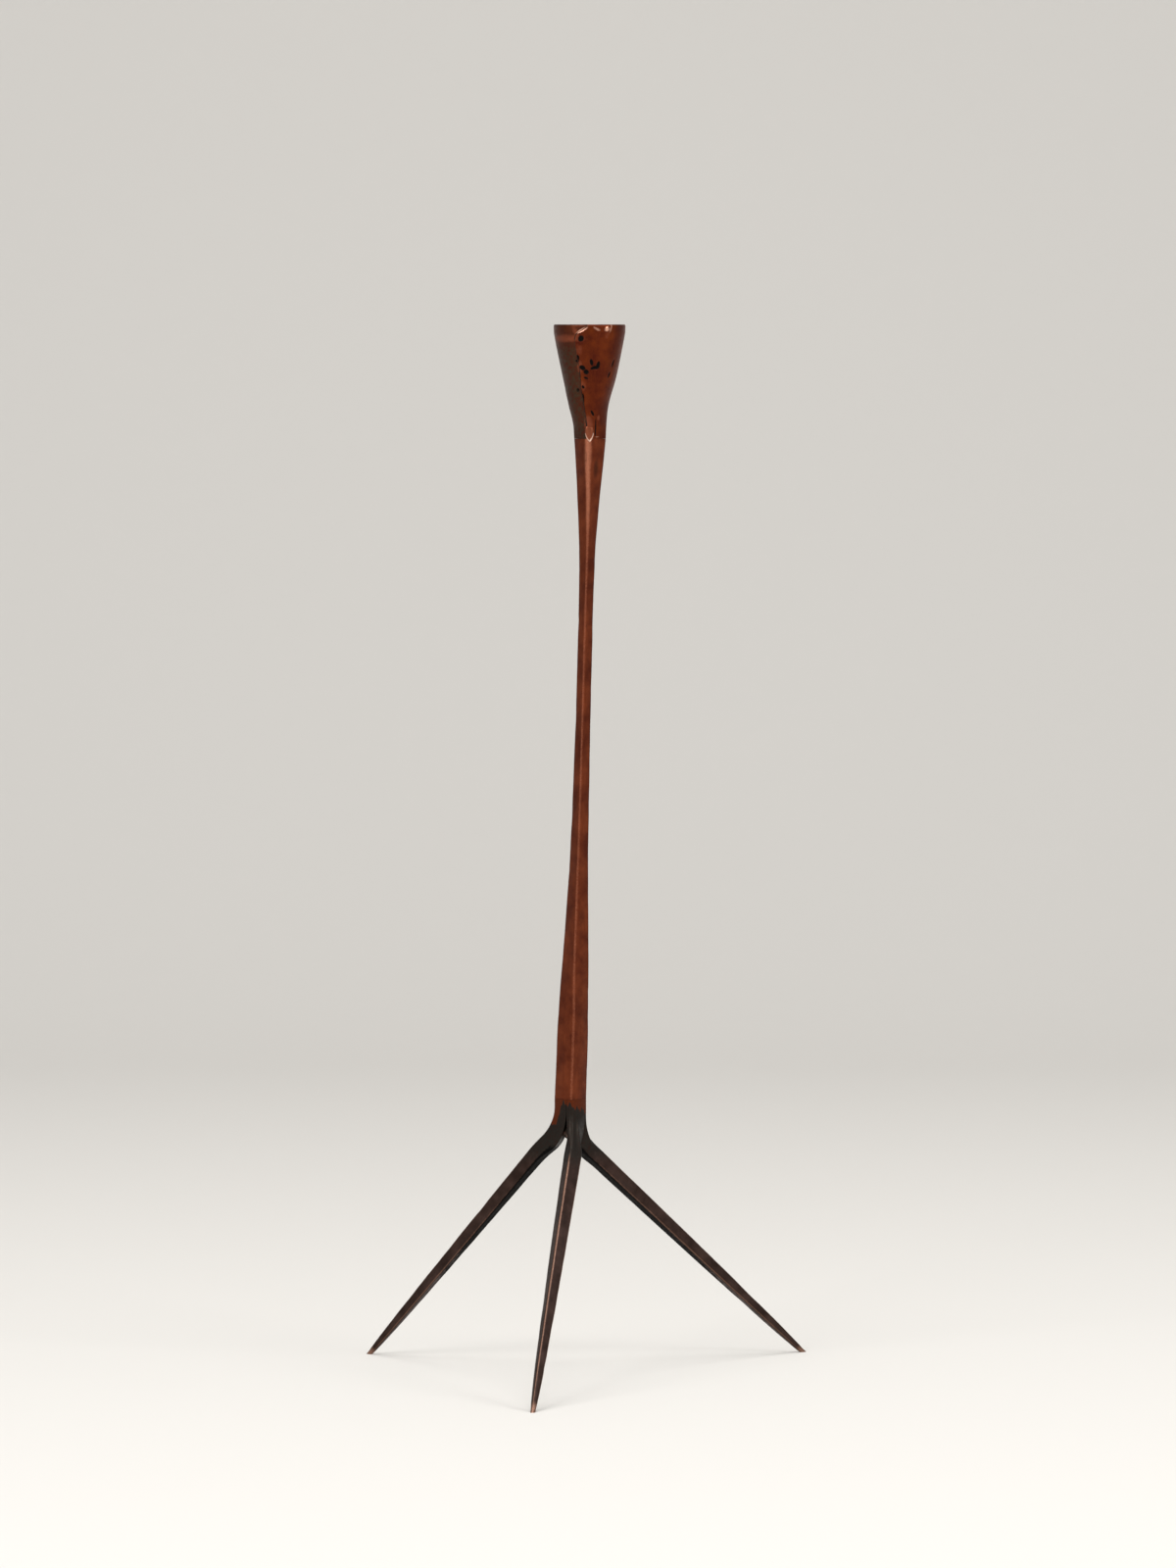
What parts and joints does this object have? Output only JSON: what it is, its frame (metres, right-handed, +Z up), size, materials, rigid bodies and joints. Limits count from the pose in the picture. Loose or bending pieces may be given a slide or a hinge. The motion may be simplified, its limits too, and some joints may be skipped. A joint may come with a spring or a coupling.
{
  "type": "candlestick",
  "caption": "Tall forged copper candlestick: a slender four-sided stem carries a lap-seamed conical cup for a taper candle and stands on drawn-out, pointed legs.",
  "frame": {"origin": "on the floor, in the middle of the rectangle that the feet span", "axes": "+Z up along the stem, +X to the right as seen from the front, +Y to the back"},
  "size_m": [0.2133, 0.1913, 0.5],
  "materials": {
    "cup_copper": "rolled copper sheet, waxed dark patina, semi-gloss",
    "stem_copper": "forged copper bar, orange-brown patina, semi-gloss",
    "leg_copper": "forged copper bar, fire-darkened, worn on the arrises",
    "braze_copper": "smooth braze, toned to the copper"
  },
  "bodies": {
    "root": {"candle_cup": "cup_copper", "lap_braze": "braze_copper", "stem": "stem_copper", "left_leg": "leg_copper", "right_leg": "leg_copper", "front_leg": "leg_copper", "hub_braze": "braze_copper"}
  },
  "joints": []
}
